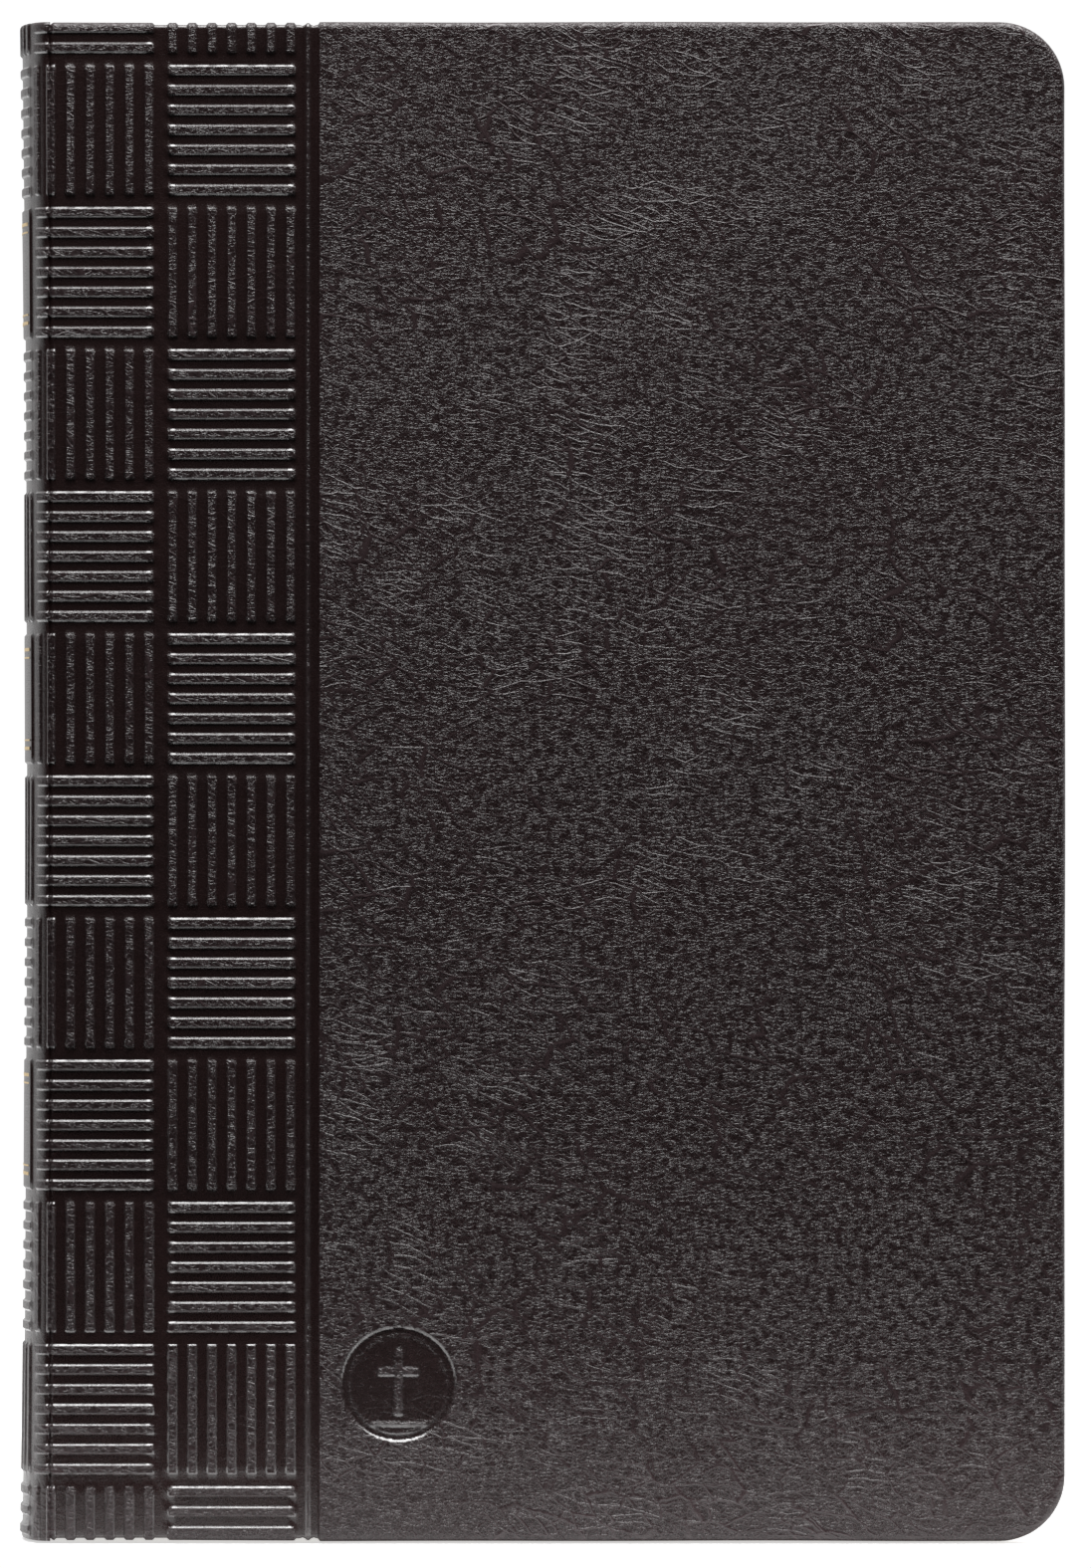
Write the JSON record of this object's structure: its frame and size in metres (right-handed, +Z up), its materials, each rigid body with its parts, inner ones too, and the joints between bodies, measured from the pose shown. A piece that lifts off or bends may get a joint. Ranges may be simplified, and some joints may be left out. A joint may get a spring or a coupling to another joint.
{
  "type": "bible",
  "caption": "Flexible-cover bible with a basket-weave spine band, opening covers and a sewn text block that opens flat in the middle.",
  "frame": {"origin": "centre of the closed book's footprint, on the plane of the tail edge that it stands on", "axes": "+Z up towards the head, +X from the spine to the fore edge, -Y the way the front cover faces"},
  "size_m": [0.1528, 0.0326, 0.2222],
  "materials": {
    "cover_leather": "satin, fine grain",
    "board": "matte",
    "endpaper": "matte",
    "page_paper": "matte",
    "lining_cloth": "open weave",
    "band_thread": "satin thread"
  },
  "bodies": {
    "rear_block": {"back_joint_leather": "cover_leather", "back_flyleaf": "endpaper", "signature_17": "page_paper", "signature_18": "page_paper", "signature_19": "page_paper", "signature_20": "page_paper", "signature_21": "page_paper", "signature_22": "page_paper", "signature_23": "page_paper", "signature_24": "page_paper", "signature_25": "page_paper", "signature_26": "page_paper", "signature_27": "page_paper", "signature_28": "page_paper", "signature_29": "page_paper", "signature_30": "page_paper", "signature_31": "page_paper", "signature_32": "page_paper"},
    "back_cover": {"back_cover_leather": "cover_leather", "back_cover_board": "board", "back_pastedown": "endpaper"},
    "spine": {"spine_leather": "cover_leather", "spine_stiffener": "board", "spine_lining": "lining_cloth", "head_band": "band_thread", "tail_band": "band_thread"},
    "front_block": {"front_joint_leather": "cover_leather", "front_flyleaf": "endpaper", "signature_01": "page_paper", "signature_02": "page_paper", "signature_03": "page_paper", "signature_04": "page_paper", "signature_05": "page_paper", "signature_06": "page_paper", "signature_07": "page_paper", "signature_08": "page_paper", "signature_09": "page_paper", "signature_10": "page_paper", "signature_11": "page_paper", "signature_12": "page_paper", "signature_13": "page_paper", "signature_14": "page_paper", "signature_15": "page_paper", "signature_16": "page_paper"},
    "front_cover": {"front_cover_leather": "cover_leather", "front_cover_board": "board", "front_pastedown": "endpaper"}
  },
  "joints": [
    {"name": "book_open", "type": "hinge", "parent": "rear_block", "child": "spine", "pos_m": [-0.07335, 0.0163, 0.1111], "axis": [0, 0, -1], "range_deg": [0, 90]},
    {"name": "front_block_open", "type": "hinge", "parent": "spine", "child": "front_block", "pos_m": [-0.07335, -0.0163, 0.1111], "axis": [0, 0, -1], "range_deg": [0, 90]},
    {"name": "front_cover_open", "type": "hinge", "parent": "front_block", "child": "front_cover", "pos_m": [-0.07115, -0.0164, 0.1111], "axis": [0, 0, -1], "range_deg": [0, 120]},
    {"name": "back_cover_open", "type": "hinge", "parent": "rear_block", "child": "back_cover", "pos_m": [-0.07115, 0.0164, 0.1111], "axis": [0, 0, 1], "range_deg": [0, 70]}
  ],
  "couplings": [
    {"joint": "front_block_open", "follows": "book_open", "ratio": 1}
  ]
}
